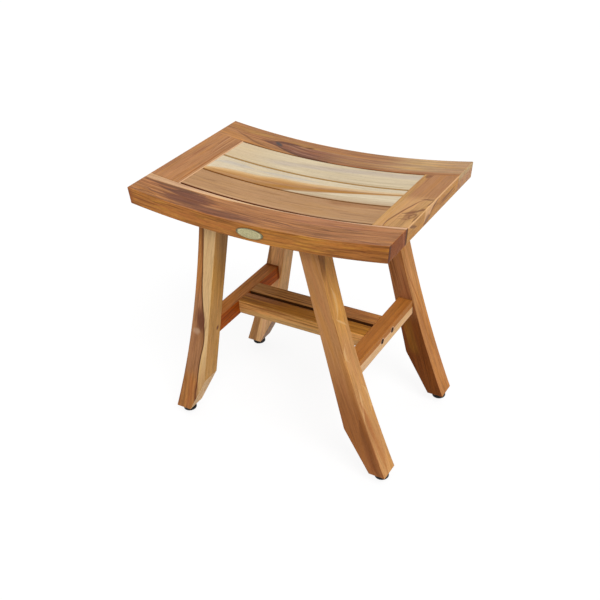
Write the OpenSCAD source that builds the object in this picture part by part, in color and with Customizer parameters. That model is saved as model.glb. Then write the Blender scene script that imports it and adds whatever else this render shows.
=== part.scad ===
// Shower bench: a dished slatted seat on four splayed legs, with a small shelf between the
// legs and a levelling foot under each leg.
//
// X runs along the seat (right is +X), Y runs from front to back and Z is up. The origin is
// on the floor, under the middle of the seat.

/* [Seat] */
// Length of the seat, from side to side
seat_length = 457; // [440:1:480]
// Depth of the seat, from front to back
seat_depth = 305; // [295:1:330]
// Height of the seat's two ends above the floor
seat_height = 458; // [440:1:480]
// How far the middle of the seat lies below its ends
seat_dip = 18; // [12:0.1:22]
// Thickness of the seat boards
board_t = 27; // [24:0.5:30]
// Width of the front and back rails
rail_w = 60; // [56:1:62]
// Width of the two end rails
end_rail_w = 57; // [52:1:60]
// How far each end face leans in from its top edge to its bottom edge
end_undercut = 3; // [0:0.5:5]
// How far the slats lie below the rails round them
slat_drop = 0.8; // [0.2:0.1:1.5]
// Gap between one slat and the next
slat_gap = 2; // [1:0.5:4]
// Gap between the front rail and the front slat
front_gap = 3; // [1:0.5:4]
// Gap between the back rail and the back slat
back_gap = 1; // [0.5:0.5:3]

/* [Legs] */
// Distance from the middle to the outer edge of a leg, at its sole
leg_foot_x = 212.5; // [205:0.1:215]
// Distance from the middle to the outer edge of a leg, at the seat
leg_top_x = 105; // [102:0.5:110]
// How far the long curve of the outer edge bows in from a straight line
leg_bow = 9.9; // [6:0.1:12]
// Width of a leg where it meets the seat
leg_top_w = 33; // [31:0.1:36]
// Width of a leg at the knee, where its inner edge turns out
leg_knee_w = 46; // [40:0.5:48]
// Height of the knee above the floor
leg_knee_z = 92; // [80:1:105]
// Width of the sole
leg_sole_w = 30; // [27:0.5:32]
// Depth of a leg, from front to back
leg_depth = 37; // [35:0.5:40]
// How far the legs stand back from the seat's front and back faces
leg_inset = 15; // [12:0.5:16]

/* [Stretchers and shelf] */
// Thickness of a side stretcher
stretcher_t = 27; // [25:0.5:28]
// Height of a side stretcher
stretcher_h = 27.5; // [25:0.5:30]
// Height of the stretchers' top face above the floor
stretcher_top = 205.5; // [195:0.5:215]
// Width of a shelf slat
shelf_slat_w = 30.5; // [30:0.5:36]
// Thickness of a shelf slat
shelf_slat_t = 24.5; // [20:0.5:26.5]
// Gap between the two shelf slats
shelf_gap = 7; // [2:0.5:8]
// Width of the bearers that lie under the seat, between the legs
bearer_w = 25; // [24:0.5:25]
// Height of the bearers
bearer_h = 32; // [30:1:34]

/* [Levelling feet] */
// Diameter of a foot pad
pad_d = 24; // [22:0.5:26]
// Thickness of a foot pad
pad_h = 8.6; // [8:0.1:8.8]
// Height of the legs' soles above the floor with the feet screwed right in
sole_z = 12.2; // [12:0.1:13]
// Diameter of the threaded stud
stud_d = 6; // [5:1:6]
// How far the stud reaches into the leg
stud_reach = 20; // [18:1:22]

/* [Fasteners and badge] */
// Diameter of the dowels in the seat, the stretchers and the bearers
dowel_d = 8; // [6:1:8]
// Diameter of the dowels in the tops of the legs
leg_dowel_d = 10; // [8:1:10]
// Diameter of the screws' shanks
screw_d = 4.2; // [3.5:0.1:4.5]
// Diameter of the screws' heads
screw_head_d = 8.3; // [6.5:0.1:8.4]
// Width of the oval badge
badge_w = 48; // [40:1:52]
// Height of the oval badge
badge_h = 16.5; // [16:0.5:21]
// Thickness of the oval badge, with its raised rim
badge_t = 1.4; // [1.2:0.1:2]

/* [Hidden] */

$fn = 64;
// Facets of the two long curves, whose radii are over a metre
LONG_CURVE_FN = 1440;
// Radial play of a glued dowel or a driven screw in its hole, and of a turning or sliding fit
GLUE_PLAY = 0.05;
RUN_PLAY = 0.05;
// A cutter reaches this far past the face that it cuts
PAST = 1;

// The seat's top is an arc about a line high above it, and its underside is the same arc
// one board thickness further out.
arc_r = (pow(seat_length / 2, 2) + pow(seat_dip, 2)) / (2 * seat_dip);
arc_z = seat_height - seat_dip + arc_r;
function top_z(x) = arc_z - sqrt(pow(arc_r, 2) - pow(x, 2));
function middle_z(x) = arc_z - sqrt(pow(arc_r + board_t / 2, 2) - pow(x, 2));
function underside_z(x) = arc_z - sqrt(pow(arc_r + board_t, 2) - pow(x, 2));
// Slope of the seat at x, in degrees
function slope(x) = asin(x / arc_r);

// Places in the seat
rail_y = seat_depth / 2 - rail_w;
slat_x = seat_length / 2 - end_rail_w;
slat_w = (2 * rail_y - front_gap - 2 * slat_gap - back_gap) / 3;
function slat_low_y(i) = -rail_y + front_gap + i * (slat_w + slat_gap);
SLATS = [0, 1, 2];

// The leg's outer edge is one arc about a point outside the bench
leg_top_z = underside_z(leg_top_x);
sole_outer = [leg_foot_x, sole_z];
chord = [leg_top_x, leg_top_z] - sole_outer;
chord_out = [chord[1], -chord[0]] / norm(chord);
bow_r = (pow(norm(chord) / 2, 2) + pow(leg_bow, 2)) / (2 * leg_bow);
bow_centre = sole_outer + chord / 2 + chord_out * (bow_r - leg_bow);
function leg_outer_x(z) = bow_centre[0] - sqrt(pow(bow_r, 2) - pow(z - bow_centre[1], 2));
knee_x = leg_outer_x(leg_knee_z) - leg_knee_w;
leg_y = seat_depth / 2 - leg_inset - leg_depth / 2;
leg_back_y = leg_y - leg_depth / 2;
leg_head_x = leg_top_x - leg_top_w / 2;

// Places of the cross pieces
stretcher_x = leg_outer_x(stretcher_top) - stretcher_t / 2;
bearer_x = leg_top_x - bearer_w / 2 - 0.5;
bearer_low_z = underside_z(bearer_x) - bearer_h;
shelf_slat_y = (shelf_gap + shelf_slat_w) / 2;
shelf_slat_x = stretcher_x - stretcher_t / 2;
shelf_slat_z = stretcher_top - shelf_slat_t / 2;

// Dowels: their lengths, and how far each lies from the middle of its pair
RAIL_DOWEL_L = 40;
SLAT_DOWEL_L = 28;
LEG_DOWEL_L = 36;
BEARER_DOWEL_L = 30;
STRETCHER_DOWEL_L = 40;
DOWEL_TIP = 1;
RAIL_DOWEL_SPREAD = 10;
SLAT_DOWEL_SPREAD = 15;
FRAME_DOWEL_SPREAD = 6.5;
// The pairs in the rails keep clear of the slats' dowels, and the leg dowels of the bearers'
rail_dowel_x = seat_length / 2 - end_undercut - 23.5;
leg_dowel_y = leg_y + 5;

// Screws: length under the head, and how deep the heads are sunk
SHELF_SCREW_L = 48;
BEARER_SCREW_L = 36;
HEAD_SINK = 1.6;
HEAD_H = 3;
SCREW_TIP = 6;
BEARER_HEAD_SINK = 12;
BEARER_SCREW_SPREAD = 15;
SLOT_W = 1.2;
SLOT_DEPTH = 1.6;

// Levelling foot: a pad, and a stud with a rim that snaps into it and a hexagon above it
foot_x = leg_foot_x - leg_sole_w / 2;
PAD_EASE = 1.2;
PAD_NECK_D = 17;
PAD_NECK_H = 1.6;
RIM_D = 10;
RIM_Z = 2.4;
RIM_H = 1.6;
SPIGOT_D = 8;
HEX_D = 11.2;
HEX_H = 2.6;
hex_z = pad_h + 0.3;
INSERT_D = 10;
INSERT_L = 14;
STUD_ROOM = 2;

// Badge: a raised rim round a sunk field
BADGE_RIM = 1.6;
BADGE_SUNK = 0.5;
BADGE_SIDES = 72;

// ---- Shapes shared by the pieces ----

// Draws a side view, X across and Z up, as a solid from one Y to another
module slab(y_low, y_high) {
    translate([0, y_high, 0])
        rotate([90, 0, 0])
            linear_extrude(height = y_high - y_low)
                children();
}

// Side view of the space above the seat boards' underside
module over_underside() {
    translate([0, arc_z])
        circle(r = arc_r + board_t, $fn = LONG_CURVE_FN);
}

// Side view of a seat board from x_low to x_high, as thick as the rails less drop
module board_side(x_low, x_high, drop = 0) {
    lean = end_undercut / board_t;
    reach = 60;
    intersection() {
        difference() {
            over_underside();
            translate([0, arc_z])
                circle(r = arc_r + drop, $fn = LONG_CURVE_FN);
        }
        translate([x_low, seat_height - 2 * reach])
            square([x_high - x_low, 3 * reach]);
        polygon([
            [-seat_length / 2 - lean * reach, seat_height + reach],
            [seat_length / 2 + lean * reach, seat_height + reach],
            [seat_length / 2 - lean * 2 * reach, seat_height - 2 * reach],
            [-seat_length / 2 + lean * 2 * reach, seat_height - 2 * reach]
        ]);
    }
}

// A dowel along Z, centred, with eased ends
module dowel(d, l) {
    rotate_extrude()
        polygon([
            [0, -l / 2],
            [d / 2 - DOWEL_TIP, -l / 2],
            [d / 2, -l / 2 + DOWEL_TIP],
            [d / 2, l / 2 - DOWEL_TIP],
            [d / 2 - DOWEL_TIP, l / 2],
            [0, l / 2]
        ]);
}

// The hole for that dowel
module dowel_hole(d, l) {
    cylinder(d = d + 2 * GLUE_PLAY, h = l + 2 * PAST, center = true);
}

// A countersunk wood screw: the head's face is at the origin and the shank runs along +Z
module wood_screw(l) {
    difference() {
        rotate_extrude()
            polygon([
                [0, 0],
                [screw_head_d / 2, 0],
                [screw_d / 2, HEAD_H],
                [screw_d / 2, HEAD_H + l - SCREW_TIP],
                [0, HEAD_H + l]
            ]);
        for (turn = [0, 90])
            rotate([0, 0, turn])
                translate([-screw_head_d * 0.3, -SLOT_W / 2, -PAST])
                    cube([screw_head_d * 0.6, SLOT_W, SLOT_DEPTH + PAST]);
    }
}

// The hole for that screw, sunk so that the head lies below the wood
module screw_hole(l, sink) {
    play = 2 * GLUE_PLAY;
    translate([0, 0, -sink - PAST])
        cylinder(d = screw_head_d + play, h = sink + PAST);
    cylinder(d1 = screw_head_d + play, d2 = screw_d + play, h = HEAD_H);
    cylinder(d = screw_d + play, h = HEAD_H + l + PAST);
}

// ---- Where the fasteners go ----

module at_rail_dowels() {
    for (sx = [-1, 1], sy = [-1, 1], side = [-1, 1]) {
        x = rail_dowel_x + side * RAIL_DOWEL_SPREAD;
        translate([sx * x, sy * rail_y, middle_z(x)])
            rotate([90, 0, 0])
                children();
    }
}

module at_slat_dowels() {
    for (sx = [-1, 1], i = SLATS, side = [-1, 1])
        translate([
            sx * slat_x,
            slat_low_y(i) + slat_w / 2 + side * SLAT_DOWEL_SPREAD,
            middle_z(slat_x)
        ])
            rotate([0, 90 - sx * slope(slat_x), 0])
                children();
}

module at_leg_dowels() {
    for (sx = [-1, 1], sy = [-1, 1])
        translate([sx * leg_head_x, sy * leg_dowel_y, underside_z(leg_head_x)])
            children();
}

// Pairs of dowels through the face between a leg and a cross piece
module at_frame_dowels(x, z) {
    for (sx = [-1, 1], sy = [-1, 1], side = [-1, 1])
        translate([sx * x, sy * leg_back_y, z + side * FRAME_DOWEL_SPREAD])
            rotate([90, 0, 0])
                children();
}

module at_bearer_dowels() {
    at_frame_dowels(bearer_x, bearer_low_z + bearer_h / 2)
        children();
}

module at_stretcher_dowels() {
    at_frame_dowels(stretcher_x, stretcher_top - stretcher_h / 2)
        children();
}

module at_bearer_screws() {
    for (sx = [-1, 1], i = SLATS, side = [-1, 1])
        translate([
            sx * bearer_x,
            slat_low_y(i) + slat_w / 2 + side * BEARER_SCREW_SPREAD,
            bearer_low_z + BEARER_HEAD_SINK
        ])
            children();
}

module at_shelf_screws() {
    for (sx = [-1, 1], sy = [-1, 1])
        translate([
            sx * (stretcher_x + stretcher_t / 2 - HEAD_SINK),
            sy * shelf_slat_y,
            shelf_slat_z
        ])
            rotate([0, -sx * 90, 0])
                children();
}

module rail_dowel_holes() {
    at_rail_dowels() dowel_hole(dowel_d, RAIL_DOWEL_L);
}

module slat_dowel_holes() {
    at_slat_dowels() dowel_hole(dowel_d, SLAT_DOWEL_L);
}

module leg_dowel_holes() {
    at_leg_dowels() dowel_hole(leg_dowel_d, LEG_DOWEL_L);
}

module bearer_dowel_holes() {
    at_bearer_dowels() dowel_hole(dowel_d, BEARER_DOWEL_L);
}

module stretcher_dowel_holes() {
    at_stretcher_dowels() dowel_hole(dowel_d, STRETCHER_DOWEL_L);
}

module bearer_screw_holes() {
    at_bearer_screws() screw_hole(BEARER_SCREW_L, BEARER_HEAD_SINK);
}

module shelf_screw_holes() {
    at_shelf_screws() screw_hole(SHELF_SCREW_L, HEAD_SINK);
}

// ---- Seat ----

module long_rail(sy) {
    difference() {
        slab(min(sy * rail_y, sy * seat_depth / 2), max(sy * rail_y, sy * seat_depth / 2))
            board_side(-seat_length / 2, seat_length / 2);
        rail_dowel_holes();
        leg_dowel_holes();
    }
}

module end_rail(sx) {
    difference() {
        slab(-rail_y, rail_y)
            board_side(min(sx * slat_x, sx * seat_length / 2), max(sx * slat_x, sx * seat_length / 2));
        rail_dowel_holes();
        slat_dowel_holes();
    }
}

module seat_slat(i) {
    difference() {
        slab(slat_low_y(i), slat_low_y(i) + slat_w)
            board_side(-slat_x, slat_x, slat_drop);
        slat_dowel_holes();
        bearer_screw_holes();
    }
}

module seat_front_rail() {
    color("#a9673d") long_rail(-1);
}

module seat_back_rail() {
    color("#b5825a") long_rail(1);
}

module seat_left_rail() {
    color("#b4744a") end_rail(-1);
}

module seat_right_rail() {
    color("#c28e5c") end_rail(1);
}

module seat_slat_front() {
    color("#b98a66") seat_slat(0);
}

module seat_slat_middle() {
    color("#d6b98c") seat_slat(1);
}

module seat_slat_back() {
    color("#dcc9a2") seat_slat(2);
}

// ---- Leg frames ----

// A cross rail under the seat, shaped to its underside and screwed up into the slats
module bearer(sx) {
    difference() {
        slab(-leg_back_y, leg_back_y)
            difference() {
                translate([sx * bearer_x - bearer_w / 2, bearer_low_z])
                    square([bearer_w, bearer_h + board_t]);
                over_underside();
            }
        bearer_dowel_holes();
        bearer_screw_holes();
    }
}

module bearer_left() {
    color("#a87448") bearer(-1);
}

module bearer_right() {
    color("#a87448") bearer(1);
}

// Side view of the right-hand leg
module leg_side() {
    outside = 60;
    difference() {
        polygon([
            [foot_x - leg_sole_w / 2, sole_z],
            [knee_x, leg_knee_z],
            [leg_top_x - leg_top_w, leg_top_z],
            [leg_top_x - leg_top_w, leg_top_z + board_t],
            [leg_foot_x + outside, leg_top_z + board_t],
            [leg_foot_x + outside, sole_z]
        ]);
        translate(bow_centre)
            circle(r = bow_r, $fn = LONG_CURVE_FN);
        over_underside();
    }
}

// Stepped hole in the sole: room for the threaded insert, and for the stud above it
module foot_hole() {
    translate([foot_x, leg_y, sole_z - PAST]) {
        cylinder(d = INSERT_D + 2 * GLUE_PLAY, h = INSERT_L + PAST);
        cylinder(d = stud_d + 1, h = stud_reach + STUD_ROOM + PAST);
    }
}

// The leg at the right back, mirrored for the others
module leg(sx, sy) {
    mirror([sx < 0 ? 1 : 0, 0, 0])
        mirror([0, sy < 0 ? 1 : 0, 0])
            difference() {
                slab(leg_back_y, leg_back_y + leg_depth)
                    leg_side();
                leg_dowel_holes();
                bearer_dowel_holes();
                stretcher_dowel_holes();
                foot_hole();
            }
}

module leg_front_left() {
    color("#b98352") leg(-1, -1);
}

module leg_front_right() {
    color("#b37a4c") leg(1, -1);
}

module leg_back_left() {
    color("#b98a5e") leg(-1, 1);
}

module leg_back_right() {
    color("#9c6238") leg(1, 1);
}

// ---- Side stretchers and shelf ----

module stretcher(sx) {
    difference() {
        translate([sx * stretcher_x - stretcher_t / 2, -leg_back_y, stretcher_top - stretcher_h])
            cube([stretcher_t, 2 * leg_back_y, stretcher_h]);
        stretcher_dowel_holes();
        shelf_screw_holes();
    }
}

module stretcher_left() {
    color("#93562f") stretcher(-1);
}

module stretcher_right() {
    color("#b9793f") stretcher(1);
}

module shelf_slat(sy) {
    difference() {
        translate([-shelf_slat_x, sy * shelf_slat_y - shelf_slat_w / 2, stretcher_top - shelf_slat_t])
            cube([2 * shelf_slat_x, shelf_slat_w, shelf_slat_t]);
        shelf_screw_holes();
    }
}

module shelf_slat_front() {
    color("#8f6538") shelf_slat(-1);
}

module shelf_slat_back() {
    color("#7a5636") shelf_slat(1);
}

// ---- Fasteners ----

module rail_dowels() {
    color("#d2b48c") at_rail_dowels() dowel(dowel_d, RAIL_DOWEL_L);
}

module slat_dowels() {
    color("#d2b48c") at_slat_dowels() dowel(dowel_d, SLAT_DOWEL_L);
}

module leg_dowels() {
    color("#d2b48c") at_leg_dowels() dowel(leg_dowel_d, LEG_DOWEL_L);
}

module bearer_dowels() {
    color("#d2b48c") at_bearer_dowels() dowel(dowel_d, BEARER_DOWEL_L);
}

module stretcher_dowels() {
    color("#d2b48c") at_stretcher_dowels() dowel(dowel_d, STRETCHER_DOWEL_L);
}

module bearer_screws() {
    color("silver") at_bearer_screws() wood_screw(BEARER_SCREW_L);
}

module shelf_screws() {
    color("silver") at_shelf_screws() wood_screw(SHELF_SCREW_L);
}

// ---- Levelling feet ----

module foot_inserts() {
    color("goldenrod")
        for (sx = [-1, 1], sy = [-1, 1])
            translate([sx * foot_x, sy * leg_y, sole_z])
                difference() {
                    cylinder(d = INSERT_D, h = INSERT_L);
                    translate([0, 0, -PAST])
                        cylinder(d = stud_d + 2 * RUN_PLAY, h = INSERT_L + 2 * PAST);
                }
}

// A round pad with an eased foot and a neck, hollow for the stud's rim and spigot
module foot_pad(sx, sy) {
    shoulder_z = pad_h - PAD_NECK_H;
    color("#1b1b1b")
        translate([sx * foot_x, sy * leg_y, 0])
            difference() {
                rotate_extrude()
                    polygon([
                        [0, 0],
                        [pad_d / 2 - PAD_EASE, 0],
                        [pad_d / 2, PAD_EASE],
                        [pad_d / 2, shoulder_z - PAD_EASE],
                        [pad_d / 2 - PAD_EASE, shoulder_z],
                        [PAD_NECK_D / 2, pad_h],
                        [0, pad_h]
                    ]);
                translate([0, 0, RIM_Z - 2 * RUN_PLAY])
                    cylinder(d = RIM_D + 2 * RUN_PLAY, h = RIM_H + 4 * RUN_PLAY);
                translate([0, 0, RIM_Z])
                    cylinder(d = SPIGOT_D + 2 * RUN_PLAY, h = pad_h);
            }
}

// The stud turns in the pad and screws in the insert
module foot_stud(sx, sy) {
    thread_tip = 1;
    stud_top = sole_z + stud_reach;
    color("lightgray")
        translate([sx * foot_x, sy * leg_y, 0]) {
            translate([0, 0, RIM_Z])
                cylinder(d = RIM_D, h = RIM_H);
            translate([0, 0, RIM_Z])
                cylinder(d = SPIGOT_D, h = hex_z - RIM_Z);
            translate([0, 0, hex_z])
                cylinder(d = HEX_D, h = HEX_H, $fn = 6);
            translate([0, 0, hex_z])
                cylinder(d = stud_d, h = stud_top - thread_tip - hex_z);
            translate([0, 0, stud_top - thread_tip])
                cylinder(d1 = stud_d, d2 = stud_d - 2 * thread_tip, h = thread_tip);
        }
}

module foot_pad_front_left() {
    foot_pad(-1, -1);
}

module foot_pad_front_right() {
    foot_pad(1, -1);
}

module foot_pad_back_left() {
    foot_pad(-1, 1);
}

module foot_pad_back_right() {
    foot_pad(1, 1);
}

module foot_stud_front_left() {
    foot_stud(-1, -1);
}

module foot_stud_front_right() {
    foot_stud(1, -1);
}

module foot_stud_back_left() {
    foot_stud(-1, 1);
}

module foot_stud_back_right() {
    foot_stud(1, 1);
}

// ---- Badge ----

// Side view of an oval, w wide and h high
module oval(w, h) {
    polygon([
        for (i = [0 : BADGE_SIDES - 1])
            [w / 2 * cos(i * 360 / BADGE_SIDES), h / 2 * sin(i * 360 / BADGE_SIDES)]
    ]);
}

module badge_plate() {
    face_y = -seat_depth / 2;
    color("#cfc79a")
        translate([0, 0, middle_z(0)])
            difference() {
                slab(face_y - badge_t, face_y)
                    oval(badge_w, badge_h);
                slab(face_y - badge_t - PAST, face_y - badge_t + BADGE_SUNK)
                    oval(badge_w - 2 * BADGE_RIM, badge_h - 2 * BADGE_RIM);
            }
}

seat_front_rail();
seat_back_rail();
seat_left_rail();
seat_right_rail();
seat_slat_front();
seat_slat_middle();
seat_slat_back();
bearer_left();
bearer_right();
leg_front_left();
leg_front_right();
leg_back_left();
leg_back_right();
stretcher_left();
stretcher_right();
shelf_slat_front();
shelf_slat_back();
rail_dowels();
slat_dowels();
leg_dowels();
bearer_dowels();
stretcher_dowels();
bearer_screws();
shelf_screws();
foot_inserts();
foot_pad_front_left();
foot_pad_front_right();
foot_pad_back_left();
foot_pad_back_right();
foot_stud_front_left();
foot_stud_front_right();
foot_stud_back_left();
foot_stud_back_right();
badge_plate();
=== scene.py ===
import math

import bmesh
import bpy
from mathutils import Matrix, Vector


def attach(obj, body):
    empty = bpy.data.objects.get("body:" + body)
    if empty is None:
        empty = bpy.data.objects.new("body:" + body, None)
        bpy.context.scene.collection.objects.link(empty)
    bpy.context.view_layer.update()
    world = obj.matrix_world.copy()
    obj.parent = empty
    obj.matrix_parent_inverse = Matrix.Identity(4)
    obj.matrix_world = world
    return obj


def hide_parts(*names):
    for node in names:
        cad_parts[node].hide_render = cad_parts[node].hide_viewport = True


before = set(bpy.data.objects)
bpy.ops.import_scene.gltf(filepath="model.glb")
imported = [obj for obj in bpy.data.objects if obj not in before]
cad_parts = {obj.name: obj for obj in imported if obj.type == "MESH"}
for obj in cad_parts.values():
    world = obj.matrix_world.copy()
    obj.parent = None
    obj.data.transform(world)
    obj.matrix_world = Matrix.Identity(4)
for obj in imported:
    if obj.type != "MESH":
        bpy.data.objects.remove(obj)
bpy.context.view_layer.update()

MM = 0.001

# ---- Sizes of the bench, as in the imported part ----

SEAT_LENGTH, SEAT_DEPTH, SEAT_HEIGHT = 457, 305, 458
SEAT_DIP, BOARD_T, RAIL_W, END_RAIL_W = 18, 27, 60, 57
END_UNDERCUT, SLAT_DROP = 3, 0.8
SLAT_W, SLAT_GAP, FRONT_GAP = 59, 2, 3
ARC_R = ((SEAT_LENGTH / 2) ** 2 + SEAT_DIP ** 2) / (2 * SEAT_DIP)
ARC_Z = SEAT_HEIGHT - SEAT_DIP + ARC_R
HALF = SEAT_LENGTH / 2
FRONT_FACE = -SEAT_DEPTH / 2
RAIL_Y = SEAT_DEPTH / 2 - RAIL_W
SLAT_X = HALF - END_RAIL_W
SLAT_LOWS = [FRONT_GAP - RAIL_Y + i * (SLAT_W + SLAT_GAP) for i in range(3)]

LEG_FOOT_X, LEG_TOP_X, LEG_BOW = 212.5, 105, 9.9
LEG_TOP_W, LEG_KNEE_W, LEG_KNEE_Z, LEG_SOLE_W = 33, 46, 92, 30
LEG_INSET, LEG_DEPTH, SOLE_Z = 15, 37, 12.2
LEG_BACK_Y = SEAT_DEPTH / 2 - LEG_INSET - LEG_DEPTH
CORNERS = {
    "front_left": (-1, -1), "front_right": (1, -1), "back_left": (-1, 1), "back_right": (1, 1),
}

STRETCHER_T, STRETCHER_H, STRETCHER_TOP = 27, 27.5, 205.5
SHELF_W, SHELF_T, SHELF_GAP = 30.5, 24.5, 7
SHELF_Y = (SHELF_GAP + SHELF_W) / 2
SHELF_Z = STRETCHER_TOP - SHELF_T / 2
BEARER_X, BEARER_W, BEARER_H = 92, 25, 32

# Radii of the holes for a screw's head and shank, the head's height, and the holes' depth
HEAD_R, SHANK_R, HEAD_H, SCREW_HOLE = 4.2, 2.15, 3, 14
HEAD_SINK, BEARER_HEAD_SINK, BEARER_SCREW_SPREAD = 1.6, 12, 15
# Radius and top of the holes in a sole, for the insert and for the stud above it
INSERT_R, INSERT_TOP, STUD_ROOM_R, STUD_ROOM_TOP = 5.05, SOLE_Z + 14, 3.5, SOLE_Z + 22
FOOT_X, FOOT_Y = LEG_FOOT_X - LEG_SOLE_W / 2, LEG_BACK_Y + LEG_DEPTH / 2
PAST = 2  # how far a hole's cutter starts outside the wood


def arc_z(x, depth=0):
    """Height of the dished seat's top at x, or of the surface that lies depth below it."""
    return ARC_Z - math.sqrt((ARC_R + depth) ** 2 - x * x)


# ---- Shapes ----

EASE_STEPS = 4


def line(f, a, b, step=10):
    """Points of the curve f from a to b, about one every step."""
    n = max(1, round(abs(b - a) / step))
    return [f(a + (b - a) * i / n) for i in range(n + 1)]


def outline(*sides):
    """Closed side view from sides that meet at corners: (x, z, whether it is a corner)."""
    points = []
    for side in sides:
        points.append((*side[0], True))
        points += [(x, z, False) for x, z in side[1:-1]]
    area = sum(a[0] * b[1] - b[0] * a[1] for a, b in zip(points, points[1:] + points[:1]))
    return points if area > 0 else points[::-1]


def box_side(low, high, bottom, top):
    """Closed side view of a rectangle."""
    spots = [(low, bottom), (high, bottom), (high, top), (low, top)]
    return outline(*zip(spots, spots[1:] + spots[:1]))


def ring(points, inset, radius):
    """The outline drawn in by inset, with corners of that radius before the inset."""
    found = []
    for i, (x, z, corner) in enumerate(points):
        here = Vector((x, z))
        back = (here - Vector(points[i - 1][:2])).normalized()
        ahead = (Vector(points[(i + 1) % len(points)][:2]) - here).normalized()
        a, b = Vector((back.y, -back.x)), Vector((ahead.y, -ahead.x))
        out = (a + b).normalized()
        reach = 1 / out.dot(a)
        if not corner:
            found.append(here - out * reach * inset)
            continue
        r = max(radius - inset, 0)
        centre = here - out * reach * (inset + r)
        start = math.atan2(a.y, a.x)
        turn = (math.atan2(b.y, b.x) - start + math.pi) % (2 * math.pi) - math.pi
        for k in range(EASE_STEPS + 1):
            angle = start + turn * k / EASE_STEPS
            found.append(centre + r * Vector((math.cos(angle), math.sin(angle))))
    return found


def skin(bm, rows):
    """A closed surface over rows of as many points each, capped at both ends."""
    rows = [[bm.verts.new(Vector(p) * MM) for p in row] for row in rows]
    for a, b in zip(rows, rows[1:]):
        for i in range(len(a)):
            bm.faces.new((a[i - 1], a[i], b[i], b[i - 1]))
    bm.faces.new(rows[0][::-1])
    bm.faces.new(rows[-1])
    return bm


def slab(points, y_low, y_high, ease=1.2, corner=1.2):
    """A board drawn in side view and cut from y_low to y_high, with eased edges."""
    levels = []
    for k in range(EASE_STEPS + 1):
        angle = math.pi / 2 * k / EASE_STEPS
        levels.append((ease * (1 - math.cos(angle)), ease * (1 - math.sin(angle))))
    rows = [(y_low + y, inset) for y, inset in levels]
    rows += [(y_high - y, inset) for y, inset in levels[::-1]]
    bm = skin(bmesh.new(), [[(p.x, y, p.y) for p in ring(points, inset, corner)] for y, inset in rows])
    bmesh.ops.remove_doubles(bm, verts=bm.verts, dist=1e-7)
    return bm


def circle(steps):
    """Angle, cosine and sine at even steps round a circle."""
    angles = [2 * math.pi * k / steps for k in range(steps)]
    return [(angle, math.cos(angle), math.sin(angle)) for angle in angles]


def lathe(bm, profile, place=Matrix(), steps=48):
    """Turns (radius, height) points about the Z axis of place."""
    rows = []
    for radius, height in profile:
        spots = circle(steps) if radius > 1e-6 else [(0, 1, 0)]
        rows.append([
            bm.verts.new(place @ (Vector((radius * c, radius * s, height)) * MM)) for _, c, s in spots
        ])
    for a, b in zip(rows, rows[1:]):
        for k in range(steps):
            corners = [a[k % len(a)], a[(k + 1) % len(a)], b[(k + 1) % len(b)], b[k % len(b)]]
            if len(set(corners)) > 2:
                bm.faces.new(list(dict.fromkeys(corners)))
    return bm


def at(x, y, z, direction=(0, 0, 1)):
    """A place whose Z axis points in that direction."""
    turn = Vector(direction).to_track_quat("Z", "Y").to_matrix().to_4x4()
    return Matrix.Translation(Vector((x, y, z)) * MM) @ turn


def thing(name, bm):
    """A new object from a finished bmesh."""
    bmesh.ops.recalc_face_normals(bm, faces=bm.faces)
    mesh = bpy.data.meshes.new(name)
    bm.to_mesh(mesh)
    bm.free()
    obj = bpy.data.objects.new(name, mesh)
    bpy.context.scene.collection.objects.link(obj)
    return obj


def drill(obj, profile, places):
    """Cuts a turned hole out of obj at each of those places."""
    bm = bmesh.new()
    for spot in places:
        lathe(bm, profile, spot)
    cutter = thing("cutter", bm)
    cut = obj.modifiers.new("cut", "BOOLEAN")
    cut.operation, cut.solver, cut.object = "DIFFERENCE", "EXACT", cutter
    bpy.context.view_layer.update()
    graph = bpy.context.evaluated_depsgraph_get()
    mesh = bpy.data.meshes.new_from_object(obj.evaluated_get(graph))
    obj.modifiers.clear()
    obj.data = mesh
    bpy.data.objects.remove(cutter)


def place(obj, node, body, slot, material, angle=40):
    """obj stands for that CAD node and rides on its body. Edges over that angle stay sharp."""
    obj.data.shade_smooth()
    obj.data.set_sharp_from_angle(angle=math.radians(angle))
    obj.modifiers.new("normals", "WEIGHTED_NORMAL").keep_sharp = True
    obj.data.materials.clear()
    obj.data.materials.append(material)
    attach(obj, body)
    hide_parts(node)


# ---- Materials: node trees written as arithmetic ----


def linear(code, gain=1):
    """An sRGB hex colour as linear RGBA."""
    levels = [int(code[i:i + 2], 16) / 255 for i in (1, 3, 5)]
    levels = [v / 12.92 if v <= 0.04045 else ((v + 0.055) / 1.055) ** 2.4 for v in levels]
    return (*[v * gain for v in levels], 1)


def grey(level):
    return (level, level, level, 1)


def read_points(text):
    """Points written as "x,y x,y"."""
    return [tuple(float(v) for v in spot.split(",")) for spot in text.split()]


class Val:
    """A socket of a tree, with arithmetic."""

    def __init__(self, tree, socket):
        self.tree, self.socket = tree, socket

    def __add__(self, b):
        return self.tree.math("ADD", self, b)

    def __sub__(self, b):
        return self.tree.math("SUBTRACT", self, b)

    def __rsub__(self, b):
        return self.tree.math("SUBTRACT", b, self)

    def __mul__(self, b):
        return self.tree.math("MULTIPLY", self, b)

    def __neg__(self):
        return self * -1

    def __truediv__(self, b):
        return self.tree.math("DIVIDE", self, b)

    def __abs__(self):
        return self.tree.math("ABSOLUTE", self)

    __radd__, __rmul__ = __add__, __mul__


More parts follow.
